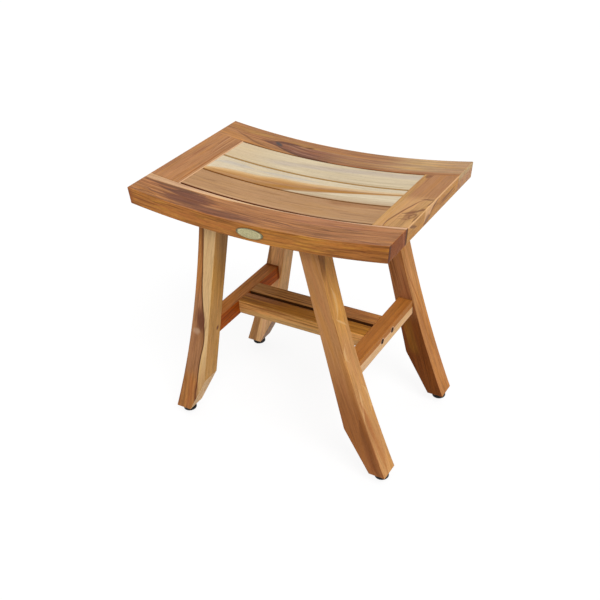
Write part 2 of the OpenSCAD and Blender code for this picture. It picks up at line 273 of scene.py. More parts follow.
class Tree:
    """The node tree of a material or of the world, up to its Surface output."""

    def __init__(self, owner, output):
        owner.use_nodes = True
        self.nodes, self.links = owner.node_tree.nodes, owner.node_tree.links
        self.nodes.clear()
        self.surface = self.nodes.new("ShaderNodeOutput" + output).inputs["Surface"]

    def feed(self, socket, value):
        if isinstance(value, Val):
            self.links.new(value.socket, socket)
        else:
            socket.default_value = value

    def node(self, kind, inputs, output=0, **settings):
        """The output of a new node. Inputs are by the sockets' names or numbers."""
        node = self.nodes.new("ShaderNode" + kind)
        for name, value in settings.items():
            setattr(node, name, value)
        for socket, value in inputs.items():
            self.feed(node.inputs[socket], value)
        return Val(self, node.outputs[output])

    def math(self, operation, *values, clamp=False):
        return self.node("Math", dict(enumerate(values)), operation=operation, use_clamp=clamp)

    def show(self, seen, unseen):
        """Shows seen to camera, glossy and transmission rays, and unseen to the other rays."""
        share = self.node("LightPath", {}, "Is Camera Ray")
        rays = share.socket.node.outputs
        for ray in ("Is Glossy Ray", "Is Transmission Ray"):
            share = self.math("ADD", share, Val(self, rays[ray]), clamp=True)
        self.feed(self.surface, self.node("MixShader", {0: share, 1: unseen, 2: seen}))


class Net(Tree):
    """A material of the bench. x, y and z are the place on it, in millimetres."""

    def __init__(self, name):
        self.material = bpy.data.materials.new(name)
        super().__init__(self.material, "Material")
        shader = self.node("BsdfPrincipled", {})
        self.feed(self.surface, shader)
        self.shader = shader.socket.node
        where = self.node("TexCoord", {}, "Object")
        scaled = self.node("VectorMath", {0: where, "Scale": 1 / MM}, operation="SCALE")
        split = self.node("SeparateXYZ", {0: scaled})
        self.x, self.y, self.z = (Val(self, s) for s in split.socket.node.outputs)
        self.normal = Val(self, where.socket.node.outputs["Normal"])

    def hypot(self, a, b):
        return self.math("SQRT", a * a + b * b)

    def upper(self, a, b):
        return self.math("MAXIMUM", a, b)

    def rise(self, value, low, high):
        """0 below low, 1 above high, and smooth between them."""
        inputs = {"Value": value, "From Min": low, "From Max": high}
        return self.node("MapRange", inputs, interpolation_type="SMOOTHSTEP")

    def fall(self, value, low, high):
        """1 below low, 0 above high, and smooth between them."""
        return 1 - self.rise(value, low, high)

    def within(self, value, low, high, soft):
        """1 from low to high, and 0 beyond soft outside them."""
        return self.rise(value, low - soft, low) * self.fall(value, high, high + soft)

    def noise(self, a, b, c, detail=2, rough=0.5):
        """Noise from 0 to 1 at the point a, b, c."""
        point = self.node("CombineXYZ", {0: a, 1: b, 2: c})
        return self.node("TexNoise", {"Vector": point, "Scale": 1, "Detail": detail, "Roughness": rough})

    def curve(self, value, text):
        """The height at value of a smooth curve through those spots."""
        points = read_points(text)
        xs, ys = zip(*points)
        pad = 0.1 * (max(ys) - min(ys)) + 1e-3
        low, high = min(ys) - pad, max(ys) + pad
        span = self.node("MapRange", {"Value": value, "From Min": xs[0], "From Max": xs[-1]})
        found = self.node("FloatCurve", {"Value": span})
        mapping = found.socket.node.mapping
        dots = mapping.curves[0].points
        places = [((x - xs[0]) / (xs[-1] - xs[0]), (y - low) / (high - low)) for x, y in points]
        dots[0].location, dots[1].location = places[0], places[-1]
        for spot in places[1:-1]:
            dots.new(*spot)
        mapping.update()
        return found * (high - low) + low

    def ramp(self, value, stops):
        """The colour at value, from (place, linear colour) stops."""
        found = self.node("ValToRGB", {0: value})
        elements = found.socket.node.color_ramp.elements
        for k, (spot, colour) in enumerate(stops):
            element = elements[k] if k < 2 else elements.new(spot)
            element.position, element.color = spot, colour
        return found

    def mix(self, a, b, share, mode="MIX"):
        return self.node("Mix", {0: share, 6: a, 7: b}, 2, data_type="RGBA", blend_type=mode)

    def facing(self, x, y, z):
        """How far the surface faces that way, from -1 to 1."""
        return self.node("VectorMath", {0: self.normal, 1: (x, y, z)}, "Value", operation="DOT_PRODUCT")

    def side(self, x, y, z, low=0.5, high=0.8):
        """1 where the surface faces that way, and 0 elsewhere."""
        return self.rise(self.facing(x, y, z), low, high)

    def bump(self, height, depth):
        """Relief from height, where 1 stands depth millimetres proud."""
        relief = self.node("Bump", {"Strength": 1, "Distance": depth * MM, "Height": height})
        self.set(Normal=relief)

    def set(self, **values):
        for name, value in values.items():
            self.feed(self.shader.inputs[name.replace("_", " ")], value)


def tones(code, contrast=1.0):
    """Four shades of a wood round its main colour, from pale to dark."""
    shades = (
        (0.0, 0.44, 0.48, 0.52), (0.36, 0.13, 0.14, 0.14),
        (0.64, -0.14, -0.16, -0.18), (1.0, -0.50, -0.56, -0.62),
    )
    base = linear(code)
    return [(spot, (*[b * (1 + g * contrast) for b, g in zip(base, gains)], 1)) for spot, *gains in shades]


# Tints that multiply a wood's colour: on end grain and its specks, where the hue turns
# golden or rosy, and in the pores
END_TINT, SPECK_TINT = (0.55, 0.42, 0.34, 1), (0.5, 0.42, 0.35, 1)
GOLD_TINT, ROSE_TINT = (1.1, 1.02, 0.72, 1), (0.96, 0.86, 0.86, 1)
PORE_TINT = (0.48, 0.38, 0.3, 1)
# The second roughness is for where the gap tint paints shade and dirt
WOOD_ROUGHNESS, GRIME_AND_SHADE_ROUGHNESS = 0.5, 0.95


class Wood(Net):
    """Oiled teak. g runs along the grain, u across it and w into the board.

    ring is the width of a year's growth, pith is where the tree's heart lies (across, deep,
    and its lean along the grain), wave is how far the grain wanders and streaks is how
    strong its lines are. A knot is a place, two half sizes and how far it pushes the grain.
    """

    def __init__(self, name, axes, code, seed, contrast=1.0, ring=5.0, pith=(0, 120, 0),
                 wave=5.0, streaks=1.0, knots=()):
        super().__init__("wood_" + name)
        (g, u, w), self.grain = axes(self)
        self.g, self.u, self.w = g, u, w
        for g0, u0, half_g, half_u, push in knots:
            far = self.math("POWER", (g - g0) / half_g, 2) + self.math("POWER", (u - u0) / half_u, 2)
            near = self.math("EXPONENT", -far)
            u = u - (u - u0) * near * push
        warp = self.noise(g / 190, u / 48, w / 48 + seed) - 0.5
        ripple = self.noise(g / 52, u / 14, w / 14 + seed + 3) - 0.5
        u = u + warp * (2 * wave) + ripple * (0.6 * wave)
        self.bent = u
        across, depth, lean = pith
        r = self.hypot(u - across - g * lean, w - depth) / ring
        t = r + self.noise(r / 2.7, g / 400, seed + 5) * 3
        part = self.math("FRACT", t)
        each = self.noise((t - part) * 1.37, g / 160, seed, 1)
        late = self.math("POWER", part, 2.5) * self.fall(part, 0.9, 1.0) * self.rise(each, 0.3, 0.7) * 1.3
        self.fibre = self.noise(g / 26, u / 0.75, w / 0.75 + seed + 11, 3, 0.6)
        thin = self.noise(g / 50, u / 2.0, w / 2.0 + seed + 41, 2, 0.5)
        streak = self.noise(g / 150, u / 5.2, w / 5.2 + seed + 17, 3, 0.6)
        self.cloud = self.noise(g / 110, u / 38, w / 38 + seed + 23, 1)
        dash = self.rise(self.noise(g / 42, u / 1.7, w / 1.7 + seed + 53, 2), 0.56, 0.72)
        self.pore = self.rise(self.noise(g / 8, u / 0.34, w / 0.34 + seed + 29, 0), 0.66, 0.8)
        self.hue = self.noise(g / 120, u / 9, w / 9 + seed + 37, 3)
        self.tone = (
            0.36 + late * 0.24 + (streak - 0.5) * (1.5 * streaks) + dash * (0.26 * streaks)
            + (thin - 0.5) * (1.1 * streaks) + (self.fibre - 0.5) * 0.8 + (self.cloud - 0.5) * 0.7
        )
        self.late = late
        self.colour = self.ramp(self.tone, tones(code, contrast))
        self.darkening = None

    def over(self, code, mask, contrast=1.0):
        """Wood of another colour where mask is 1."""
        self.colour = self.mix(self.colour, self.ramp(self.tone, tones(code, contrast)), mask)

    def stain(self, code, mask):
        """A plain tint over the figure where mask is 1."""
        self.colour = self.mix(self.colour, linear(code), mask)

    def grime_and_shade(self, code, mask):
        """Painted shade, with some dirt, where mask is 1, as in a narrow gap."""
        self.stain(code, mask)
        self.darkening = mask if self.darkening is None else self.upper(self.darkening, mask)

    def draw(self, code, share, *lines, where=None, along=None, across=None):
        """Stains thin lines, all over or where that mask is 1."""
        mask = self.strokes(*lines, along=along, across=across)
        self.stain(code, (mask if where is None else where * mask) * share)

    def ragged(self, size, g=60, u=5):
        """A wandering offset, up to about size either way, that follows the grain."""
        return (self.noise(self.g / g, self.u / u, self.w / u, 3) - 0.5) * (3 * size)

    def blob(self, g0, u0, half_g, half_u, rag=0.25):
        """1 in the middle of an oval along the grain, 0 outside it."""
        d = self.hypot((self.g - g0) / half_g, (self.bent - u0) / half_u)
        return self.fall(d + self.ragged(rag, 30, 6), 0.45, 1.1)

    def path(self, text, along=None):
        """Height at along, or g, of the line through those spots."""
        along = self.g if along is None else along
        points = read_points(text)
        if len(points) > 2:
            return self.curve(along, text)
        (a, p), (b, q) = points
        return (along - a) * ((q - p) / (b - a)) + p

    def strokes(self, *lines, along=None, across=None):
        """1 on thin tapered lines, each written as its width and its spots."""
        along = self.g if along is None else along
        across = self.u if across is None else across
        sway = self.ragged(0.5, 22, 30)
        total = None
        for text in lines:
            width, path = text.split(" ", 1)
            width, points = float(width), read_points(path)
            a, b = points[0][0], points[-1][0]
            end = (b - a) * 0.3
            taper = self.within(along, a + end, b - end, end)
            off = abs(across - self.path(path, along) + sway)
            mask = self.fall(off, width * 0.1, taper * (width * 0.85) + width * 0.2)
            mask = mask * self.within(along, a, b, 3)
            total = mask if total is None else self.upper(total, mask)
        return total

    def tint(self, colour, share):
        """Multiplies the wood's colour, by that share."""
        self.colour = self.mix(self.colour, colour, share, "MULTIPLY")

    def finish(self, end=0.5, tint=0.8, shine=0.16):
        """Adds end grain, golden and rosy patches, pores, gloss and relief."""
        cut = self.rise(abs(self.facing(*self.grain)), 0.75, 0.95)
        speck = self.noise(self.u / 0.9, self.w / 0.9, 3, 2)
        dark = self.mix(self.colour, END_TINT, end, "MULTIPLY")
        dark = self.mix(dark, SPECK_TINT, self.rise(speck, 0.5, 0.7) * 0.35, "MULTIPLY")
        self.colour = self.mix(self.colour, dark, cut)
        self.tint(GOLD_TINT, self.rise(self.hue, 0.5, 0.66) * tint)
        self.tint(ROSE_TINT, self.rise(self.hue, 0.5, 0.36) * tint)
        self.tint(PORE_TINT, self.pore * 0.45)
        self.set(Base_Color=self.colour)
        rough = WOOD_ROUGHNESS + (self.fibre - 0.5) * 0.25 + self.pore * 0.15 + cut * 0.12
        if self.darkening is not None:
            rough = self.upper(rough, self.darkening * GRIME_AND_SHADE_ROUGHNESS)
        self.set(Roughness=rough, Specular_IOR_Level=shine)
        self.bump(self.fibre * 0.35 - self.pore * 0.8 - self.late * 0.25, 0.09)
        return self.material


# Axes of the boards: the place along the grain, across it and into the board, and the
# grain's direction


def under_top(n):
    """How far a place lies under the dished top."""
    return n.x * n.x / (2 * ARC_R) + (SEAT_HEIGHT - SEAT_DIP) - n.z


def long_board(n):
    return (n.x, n.y, under_top(n)), (1, 0, 0)


def cross_board(n):
    return (n.y, n.x, under_top(n)), (0, 1, 0)


def level_long(n):
    return (n.x, n.y, n.z), (1, 0, 0)


def level_cross(n):
    return (n.y, n.z, n.x), (0, 1, 0)


def bearer_axes(n):
    return (n.y, n.x, n.z), (0, 1, 0)


def leg_axes(side):
    """Axes of a leg on that side: up along it, outwards across it, and back through it."""
    lean, rise = 0.259, 0.966  # sine and cosine of the leg's splay, about 15 degrees

    def axes(n):
        out, up = n.x * side - FOOT_X, n.z - SOLE_Z
        return (out * -lean + up * rise, out * rise + up * lean, n.y), (-lean * side, 0, rise)
    return axes


# ---- Seat ----

# Each wood below follows the photograph, by places on the bench: over() lays in wood of
# another colour, stain() a plain tint, draw() thin lines, and the gap tint painted shade
# with some dirt. Some overs and stains are painted light or shade, as marked.


def seat_side(x_low, x_high, drop=0.0):
    """Side view of a seat board from x_low to x_high, leaning in at the seat's ends."""
    def foot(x):
        return x - math.copysign(END_UNDERCUT, x) if abs(x) > HALF - 1 else x
    top = line(lambda x: (x, arc_z(x, drop)), x_low, x_high)
    under = line(lambda x: (x, arc_z(x, BOARD_T)), foot(x_high), foot(x_low))
    return outline(top, [top[-1], under[0]], under, [under[-1], top[0]])


def wood_front_rail():
    knots = [(-118, -132, 60, 16, 0.35)]
    n = Wood("front_rail", long_board, "#a16c41", seed=1, contrast=1.1, ring=4.5, pith=(-260, 60, 0.02),
             wave=6, streaks=1.25, knots=knots)
    x, y = n.x, n.y
    pale = n.strokes("5 -222,-125 -202,-126 -183,-121 -165,-123", "4 -196,-140 -175,-140 -150,-145",
                     "4 -150,-118 -118,-121 -80,-124.5 -40,-122 0,-114", "3 -130,-151 -60,-151")
    n.over("#af7545", pale * 0.65, 0.7)
    patch = n.blob(-132, -126, 60, 22, 0.35)
    n.over("#764832", n.upper(patch, n.blob(-60, -141, 80, 10, 0.35) * 0.8), 0.6)
    n.draw("#5a3626", 0.6, "3.2 -216,-149 -203,-145 -193,-144 -178,-146",
           "2.2 -218,-137 -204,-134 -190,-137 -170,-136 -150,-131", "2 -212,-120 -196,-117 -176,-118")
    n.draw("#67412f", 0.6, "2.6 -120,-148 -90,-146.5 -57,-146.3 -29,-143.5 8,-140",
           "2 -104,-138 -60,-136 -20,-131.5", "2 -60,-128 -25,-132 21,-130.3 48,-139",
           "1.8 9,-126 45,-128.3 70,-133 88,-131", "1.7 76,-106 122,-107", "1.7 102,-121.6 126,-126.8",
           "2 104,-108 137,-111", "1.8 138,-115.3 168,-117.7", "1.8 99,-144 132,-142.8",
           "1.8 158,-142 189,-145.6 209,-148.6 226,-149.8", "1.8 60,-120 100,-119")
    n.stain("#b57a5e", n.within(y + n.ragged(2), -112, -97, 4) * n.within(x, 66, 150, 25) * 0.3)
    sap = n.curve(x, "-228,-107.9 -160,-103.4 -118,-100.9 -80,-99.8 -43,-96.6 0,-95.2 60,-94.6 "
                     "121,-94.4 171,-96 228,-99")
    edge = y + n.ragged(0.25) - sap
    n.draw("#5d3a29", 0.8, "6 -222,-112 -202,-110.5 -180,-109 -160,-107.6 -138,-107 -112,-106",
           "4.6 -192,-118 -173,-118 -156,-114 -140,-110 -124,-108.6")
    n.draw("#c08a5c", 0.55, "2.6 -205,-128 -188,-124.5 -150,-126", "2.4 -100,-132 -60,-130.5")
    n.over("#d6ae87", n.rise(edge, -0.9, 0.5), 0.45)
    n.stain("#a97850", n.rise(edge, -0.9, 0.5) * n.fall(x, -200, -90) * 0.35)
    # The front face is a richer orange than the top: partly its own figure, partly standing in for the sheen
    # that pales the top.
    face = n.rise(-y, 150.7, 152.2)
    n.over("#a76a32", face, 1.05)
    gold = n.rise(n.noise(n.g / 36, n.w / 4.5, 9, 2), 0.54, 0.66) * 0.6 + n.within(x, 40, 115, 30) * 0.3
    n.over("#c08537", face * gold, 0.7)
    n.draw("#6f3b16", 0.5, "1.8 -226,15.8 -202,12.5 -184,12.4 -165,10.3",
           "1.6 -145,1.4 -112,0.9 -83,2.1 -53,1", "1.7 -175,8 -150,5 -120,5.5", "1.6 36,4.6 60,1.5 86,2.4",
           "1.8 115,12.6 150,12.6 170,11.9 212,9.3", "1.7 128,16.5 180,15.5", "2.2 196,18.6 228,19.8",
           "1.6 -215,21 -160,19.5", where=face, across=n.w)
    n.stain("#8f6424", face * n.rise(n.noise(n.g / 9, n.w / 2.2, 5, 3), 0.52, 0.66) * 0.3)
    right = n.rise(x, 224, 226.5) * n.side(1, 0, 0)
    n.stain("#904a18", right * 0.75)
    n.stain("#4f2b1b", right * n.upper(n.within(y, -99, -92, 1.5), n.fall(y, -148, -145)) * 0.75)
    n.stain("#b4724e", right * n.fall(abs(y + 108 - n.w * 0.25 + n.ragged(1)), 0.8, 3.4) * 0.65)
    n.stain("#8a4a1e", face * n.rise(x, 100, 180) * 0.18)
    n.stain("#8a4626", face * n.fall(x, -226, -216) * 0.6)
    # Painted shade, with some dirt, on the back face down in the front gap.
    n.grime_and_shade("#5a2a0c", n.side(0, 1, 0, 0.6, 0.9) * n.within(x, -SLAT_X, SLAT_X, 0.5) * 0.9)
    return n.finish(end=0.3)


def wood_back_rail():
    knots = [(-113, 118, 38, 14, 0.8), (-60, 129, 20, 7, 0.7)]
    n = Wood("back_rail", long_board, "#a37145", seed=2, contrast=0.95, ring=4.2, pith=(300, 50, -0.03),
             wave=6, knots=knots)
    x, y = n.x, n.y
    n.over("#af7d40", n.blob(-175, 133, 60, 9, 0.3) * 0.6, 0.7)
    band = n.within(y + n.ragged(2.5), 98, 126, 5) * n.rise(x, -100, -60) * n.fall(x, 60, 190)
    n.over("#99704c", band * 0.85)
    n.over("#bc986c", n.rise(x, 60, 150) * n.rise(y, 100, 106), 0.7)
    n.over("#b48d66", n.rise(x, 150, 205) * n.rise(y, 100, 106), 0.6)
    top = n.path("-150,118.5 -136,120 -122,126.5 -108,131.5 -92,132 -73,129 -40,127 40,124")
    low = n.path("-150,117 -125,111 -107,106 -87,100 -66,94 40,90")
    flame = n.rise(y - low + n.ragged(0.6), -0.8, 1.5) * n.fall(y - top + n.ragged(0.6), -1.5, 0.8)
    flame = flame * n.rise(x, -150, -138)
    n.over("#805039", flame * n.fall(x, -60, 40), 1.1)
    n.draw("#b08468", 0.5, "3.4 -110,120.5 -93,120.4 -75,116 -50,112.5",
           "2.6 -88,126.5 -70,124 -40,121", "2.6 -90,110 -64,104 -30,101")
    n.stain("#5c3828", flame * n.fall(x, -134, -100) * 0.6)
    core = n.hypot((x + 114) / 11, (y - 117.5 + (x + 114) * 0.45) / 5.5)
    n.stain("#463d3b", n.fall(core, 0.45, 1.15) * 0.9)
    n.draw("#4e2e1c", 0.8, "3 -130,123.2 -104,127.6 -84,128.7 -60,129.3",
           "4.4 -118,113 -107,107.6 -87,101 -66,95.6 -39,93.8 -5,93.2")
    n.draw("#6e4426", 0.7, "3.4 -203,121 -196,118.6 -176,111.5 -157,103.5 -141,100 -120,95.5",
           "1.4 -190,122 -185,127 -169,136.3 -145,142.3 -120,139")
    eye = n.hypot((x + 59) / 10, (y - 129 - (x + 59) * 0.12) / 2.6)
    n.stain("#b98c50", n.within(eye, 1.0, 1.7, 0.5) * 0.3)
    n.stain("#5c3416", n.fall(eye, 0.5, 1.1) * 0.95)
    n.draw("#b58a4c", 0.45, "4 -104,136 -84,136.5 -56,137", "6 -190,128 -165,133 -140,136")
    n.draw("#7c4e30", 0.8, "4 -152,117 -140,118.5 -126,122")
    n.draw("#87583a", 0.5, "1.8 -66,149 -28,146.6 6,144.5 51,139.5 100,138.3 150,138",
           "1.5 -40,137 20,134 90,131.5", "1.5 -50,122 30,117 120,116", "1.6 -20,110 60,107 150,108",
           "1.4 -40,103 50,100.5", "1.4 20,126 110,124", "1.3 120,144 205,143", "1.3 100,112 190,114")
    n.stain("#a5693c", n.within(y + n.ragged(0.8), 92, 97.5, 1) * n.rise(x, 0, 40) * 0.3)
    side = n.side(1, 0, 0)
    n.over("#c2936f", side * 0.8, 0.5)
    n.over("#c9b285", side * n.rise(n.z + n.ragged(2, 30, 8), 446, 452) * 0.7, 0.5)
    n.stain("#9c6e4c", side * n.rise(n.math("SINE", n.hypot(y - 128, n.w - 40) * 1.3), 0.6, 0.95) * 0.35)
    # Painted shade, with some dirt, on the front face down in the back gap.
    n.grime_and_shade("#6e4320", n.side(0, -1, 0, 0.6, 0.9) * n.within(x, -SLAT_X, SLAT_X, 0.5) * 0.6)
    return n.finish(end=0.0)


def wood_left_rail():
    n = Wood("left_rail", cross_board, "#aa764a", seed=3, contrast=0.85, ring=3.6, pith=(-420, 40, 0),
             wave=4, streaks=0.6)
    n.draw("#8a5632", 0.6, "1.6 30,-195.5 50,-197 77,-201 112,-198", "1.6 26,-190.6 76,-190 110,-190",
           "1.4 -70,-205 -20,-203", "1.4 -84,-190 -46,-188", "1.4 -10,-212 50,-210")
    n.draw("#cf9d70", 0.5, "1.5 30,-193 77,-197.6 110,-195", "1.5 20,-187.6 104,-187.4",
           "1.5 -92,-175 60,-175")
    n.draw("#935625", 0.75, "2.2 -93,-177.4 -20,-178 60,-178.5")
    # Painted highlight: a cream line on the eased inner edge.
    n.stain("#e6b98f", n.rise(n.x, -173.6, -172.4) * 0.8)
    return n.finish(tint=0.6)


def wood_right_rail():
    knots = [(-46, 219, 22, 9, 0.6), (90, 181, 10, 6, 0.7)]
    n = Wood("right_rail", cross_board, "#ad794b", seed=4, contrast=0.7, ring=4.4, pith=(420, 60, 0.04),
             wave=5, streaks=0.5, knots=knots)
    x, y = n.x, n.y
    growth = "-93,189.3 -77,188 -62,190.6 -44,195 -30,199 -17,203.6 -6,207.6 2,216"
    dark = n.path(growth)
    n.over("#c3945c", n.rise(x - dark, -1, 3) * n.fall(y, -5, 14) * 0.9)
    n.over("#cc9c65", n.fall(x - dark, -2.5, -0.5) * n.fall(y, -10, 20) * 0.8, 0.5)
    band = n.curve(y, "-92,174 -43,178.5 20,182 66,183 92,180")
    n.over("#c1914f", n.fall(x + n.ragged(0.8) - band, -2.5, 1) * 0.75, 0.8)
    uneven = 0.6 + n.fibre * 0.4
    n.stain("#7a4c2a", n.strokes("2.6 " + growth) * uneven)
    n.stain("#714220", n.strokes(
        "7 200,-48.5 211,-44.6 217,-41 221,-36.6 226,-33.6 233,-34",
        "3 207,1 213,1.6 221,0.8 231,5", along=x, across=y) * uneven)
    n.stain("#714220", n.strokes("4.4 -74,225.5 -58,227 -46,229 -33,228.5") * uneven)
    n.draw("#7f4d2b", 0.5, "2.6 202,-58 210,-54 218,-55", "2.4 200,-66 209,-67 219,-69",
           "2 196,-60 203,-56.5", along=x, across=y)
    eye = n.hypot((x - 218) / 4.6, (y + 57 - (x - 218) * 0.5) / 7.5) + n.ragged(0.35, 6, 4)
    n.stain("#74441f", n.within(eye, 0.75, 1.05, 0.25) * 0.65)
    n.stain("#8a5330", n.blob(-54, 214, 22, 9, 0.4) * 0.4)
    n.draw("#6d4022", 0.8, "2.4 -24,223.5 -14,226.5 3,228")
    n.stain("#74431f", n.blob(86, 181, 9, 5, 0.45) * 0.7)
    n.draw("#93602f", 0.5, "2.2 60,186 76,185 92,188", "1.8 50,176 70,175 92,177")
    side = n.side(1, 0, 0, 0.5, 0.85)
    n.over("#b9823f", side * 0.9, 0.9)
    # Pale wedge under the top edge of the side: painted highlight of the eased edge, widening over the knot's
    # pale figure.
    fork = n.path("-34,436 -21,438 -15,442.6 -11,446.4 -5,449.2 3,452 12,454 20,456")
    n.over("#e0ad76", side * n.rise(n.z - fork, 0, 1.5) * n.within(y, -31, 6, 5) * 0.9, 0.4)
    n.draw("#6f3f1c", 0.75, "4 -16,434 -12,440 -9,445.6 -4,449.4 4,452 14,456",
           "9 -34,434 -25,438.5 -15,440", "5 -90,458 -79,452.5 -62,445", "3.5 24,441 53,443.6 80,447",
           "1.4 20,444 60,446", "1.4 30,438 90,441", where=side, across=n.z)
    # Painted highlight: a thin pale line along the outer top edge.
    n.stain("#e8b883", n.within(x, 227.6, 228.6, 0.5) * n.fall(n.w, 1.5, 3) * 0.8)
    return n.finish(tint=0.6)


def wood_slat_back():
    n = Wood("slat_back", long_board, "#d2c0a0", seed=5, contrast=0.36, ring=5, pith=(260, 60, 0.02),
             wave=5, streaks=0.7)
    mid = n.curve(n.x, "-172,52 -76,58 -7,69 64,77 172,80")
    n.over("#c6b6a4", n.fall(abs(n.y - mid + n.ragged(3)), 3, 11) * n.rise(n.x, -130, -60) * 0.85, 0.3)
    n.over("#d3b78e", n.upper(n.fall(n.y + n.ragged(1), 34, 38), n.fall(n.x, -160, -70)) * 0.5, 0.3)
    n.draw("#ab925e", 0.4, "3 40,37 90,37.5 140,39 171,41", "1.5 60,48 150,50", "1.4 -60,66 30,76")
    # The gap tints paint shade, with some dirt: a dark lip at each gap, and a plain gold wall facing the
    # front gap so its shade reads brown.
    n.grime_and_shade("#87643a", n.fall(n.y, 33, 35.4) * 0.7)
    n.grime_and_shade("#cf9f52", n.side(0, -1, 0, 0.5, 0.85))
    n.grime_and_shade("#9c6f48", n.rise(n.y, 90, 91.6) * 0.6)
    return n.finish(tint=0.15)


def wood_slat_middle():
    n = Wood("slat_middle", long_board, "#d7c6a8", seed=6, contrast=0.34, ring=5, pith=(-260, 60, 0.02),
             wave=5, streaks=0.7)
    top = n.curve(n.x, "-172,-25 -148,-14 -113,-8 -76,-5 -42,2.7 -5,4 30,7 64,10.7 99,12 172,14.6")
    low = n.curve(n.x, "-172,-60 -60,-42 -23,-29 -7,-24 9.5,-21 26,-17 57,-8.5 88,-1.6 120,4 172,9")
    y = n.y + n.ragged(0.6, 90, 8)
    pale = n.strokes("9 -172,4 -157,12 -138,15 -100,15", "6 -90,12 -40,17 20,19")
    n.over("#c6bcae", pale * 0.8, 0.3)
    n.over("#d6ab72", n.within(y - top, -3, 2, 5) * (1 - n.rise(n.x, 0, 150) * 0.4) * 0.85, 0.3)
    n.over("#b08152", n.rise(y - low, -1.2, 1.6) * n.fall(y - top, -8, 1), 0.55)
    n.stain("#c8903f", n.within(y - top + n.ragged(1.2), -9, -3, 5) * n.fall(n.x, -20, 60) * 0.4)
    core = n.curve(n.x, "-172,-36 -90,-30 -30,-19 0,-14.5 40,-6 90,2.5 172,11.5")
    thick = 6.5 - n.rise(n.x, 0, 130) * 4
    off = abs(y - core + n.ragged(0.8)) - thick * 0.4
    n.stain("#ae7618", n.fall(off, -1, 4) * n.rise(n.x, -100, -20) * 0.75)
    n.draw("#9c6c3c", 0.5, "2 -170,-20 -140,-19 -100,-20", "1.4 -80,-14 -20,-12",
           "1.4 60,6 120,9.5 170,12.5")
    n.over("#bfa583", n.fall(n.y + n.ragged(3), -27, -6) * n.rise(n.x, -20, 40) * 0.9, 0.35)
    n.draw("#a98c5c", 0.35, "1.5 30,-20 110,-12 165,-9", "1.5 60,22 160,24")
    # Painted shade, with some dirt, on the lips at both gaps.
    n.grime_and_shade("#85633a", n.rise(n.y, 27.8, 30.2) * 0.7)
    n.grime_and_shade("#8a5414", n.fall(n.y, -28.2, -26) * 0.8)
    return n.finish(tint=0.15)


def wood_slat_front():
    n = Wood("slat_front", long_board, "#b3885d", seed=7, contrast=0.5, ring=4.6, pith=(-300, 60, 0.03),
             wave=5, streaks=0.6)
    n.over("#c79f75", n.fall(n.y + n.ragged(1.5), -87, -80) * 0.7, 0.4)
    n.over("#a07044", n.within(n.x, 84, 165, 30) * n.rise(n.y + n.ragged(2.5), -48, -37) * 0.8, 0.6)
    n.draw("#8d5f3e", 0.5, "2 102,-67.5 135,-68.1 160,-69.6", "1.8 82,-60 124,-60.4",
           "2 130,-35.5 168,-42.6", "1.6 12,-86 48,-89.5", "1.6 -150,-58 -126,-52",
           "1.5 -120,-70 -60,-72", "1.5 -60,-47 0,-45", "1.5 -10,-62 50,-60", "1.4 -100,-82 -40,-83",
           "1.6 74,-41 114,-36")
    # Painted shade, with some dirt, on the lips at the gaps; the front gap's shade fades to the right.
    n.grime_and_shade("#7a4816", n.rise(n.y, -32.6, -30.8) * 0.7)
    shade = 1 - n.rise(n.x, -60, 150) * 0.55
    n.grime_and_shade("#6a3410", n.fall(n.y, -88.6, -86.0) * shade * 0.85)
    n.grime_and_shade("#5c2a08", n.fall(n.y, -89.4, -88.2) * shade)
    return n.finish(tint=0.3)


def build_seat():
    def add(node, points, low, high, slot, material, ease=1.2, corner=1.2):
        place(thing(node + "_board", slab(points, low, high, ease, corner)), node, "bench", slot, material)

    full = seat_side(-HALF, HALF)
    add("seat_front_rail", full, FRONT_FACE, -RAIL_Y, "teak_red", wood_front_rail())
    add("seat_back_rail", full, RAIL_Y, -FRONT_FACE, "teak_brown", wood_back_rail())
    add("seat_left_rail", seat_side(-HALF, -SLAT_X), -RAIL_Y, RAIL_Y, "teak_red", wood_left_rail(), 0.3)
    add("seat_right_rail", seat_side(SLAT_X, HALF), -RAIL_Y, RAIL_Y, "teak_gold", wood_right_rail(), 0.3)
    slats = (
        ("seat_slat_front", "teak_brown", wood_slat_front()),
        ("seat_slat_middle", "teak_pale", wood_slat_middle()),
        ("seat_slat_back", "teak_pale", wood_slat_back()),
    )
    for low, (node, slot, material) in zip(SLAT_LOWS, slats):
        add(node, seat_side(-SLAT_X, SLAT_X, SLAT_DROP), low, low + SLAT_W, slot, material, 0.7, 0.3)


# ---- Legs, bearers, stretchers and shelf ----

LEG_TOP_Z = arc_z(LEG_TOP_X, BOARD_T)
CHORD = Vector((LEG_TOP_X - LEG_FOOT_X, LEG_TOP_Z - SOLE_Z))
BOW_R = ((CHORD.length / 2) ** 2 + LEG_BOW ** 2) / (2 * LEG_BOW)
BOW_CENTRE = (
    Vector((LEG_FOOT_X, SOLE_Z)) + CHORD / 2
    + Vector((CHORD.y, -CHORD.x)).normalized() * (BOW_R - LEG_BOW)
)


def outer_x(z):
    """Distance from the middle to the legs' long bowed edge at that height."""
    return BOW_CENTRE.x - math.sqrt(BOW_R ** 2 - (z - BOW_CENTRE.y) ** 2)


STRETCHER_X = outer_x(STRETCHER_TOP) - STRETCHER_T / 2


def leg_side(sx):
    """Side view of a leg, on the left where sx is -1."""
    inner_x = LEG_TOP_X - LEG_TOP_W
    inner_top = (inner_x, arc_z(inner_x, BOARD_T))
    knee = (outer_x(LEG_KNEE_Z) - LEG_KNEE_W, LEG_KNEE_Z)
    sole = (FOOT_X - LEG_SOLE_W / 2, SOLE_Z)
    edge = line(lambda z: (outer_x(z), z), SOLE_Z, LEG_TOP_Z, 12)
    under = line(lambda x: (x, arc_z(x, BOARD_T)), LEG_TOP_X, inner_x, 8)
    under[0] = edge[-1]
    sides = (edge, under, [inner_top, knee], [knee, sole], [sole, edge[0]])
    return outline(*[[(sx * x, z) for x, z in side] for side in sides])


